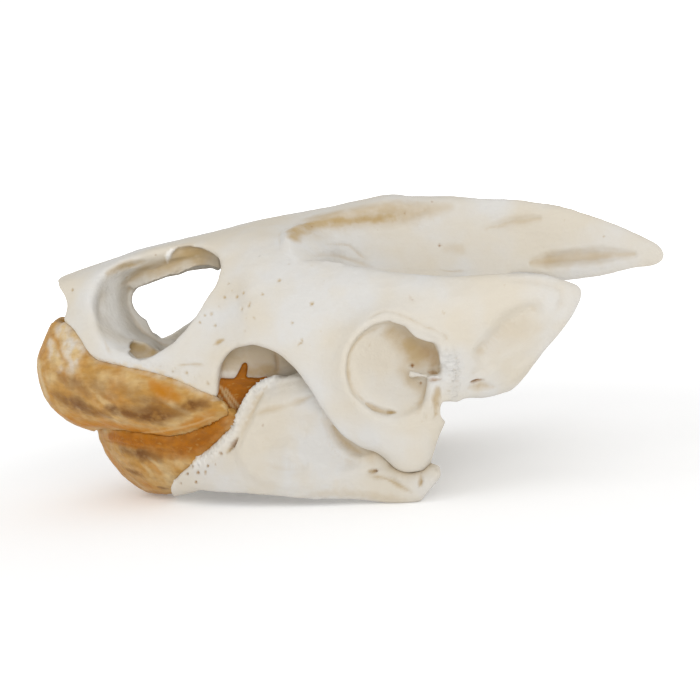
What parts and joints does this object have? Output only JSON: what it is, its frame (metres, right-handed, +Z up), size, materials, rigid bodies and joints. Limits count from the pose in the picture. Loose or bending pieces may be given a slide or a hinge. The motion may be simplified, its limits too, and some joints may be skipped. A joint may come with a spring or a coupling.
{
  "type": "snapping turtle skull",
  "caption": "Still museum skull of a snapping turtle, at rest on its lower jaw, with horn beak sheaths, open temples and a long rear crest.",
  "frame": {"origin": "centre of the bounding box, on the floor that the jaw rests on", "axes": "+X from the beak back to the crest, +Y to the skull right side, +Z up; the skull left side faces -Y"},
  "size_m": [0.1188, 0.0698, 0.0514],
  "materials": {
    "cranium_bone": "matte dry bone, ivory with tan hollows",
    "jaw_bone": "matte dry bone, ivory",
    "beak_horn": "satin amber horn with smoky brown patches"
  },
  "bodies": {
    "root": {"face": "cranium_bone", "braincase": "cranium_bone", "crest": "cranium_bone", "cheek_left": "cranium_bone", "cheek_right": "cranium_bone", "mandible": "jaw_bone", "upper_beak": "beak_horn", "lower_beak": "beak_horn"}
  },
  "joints": []
}
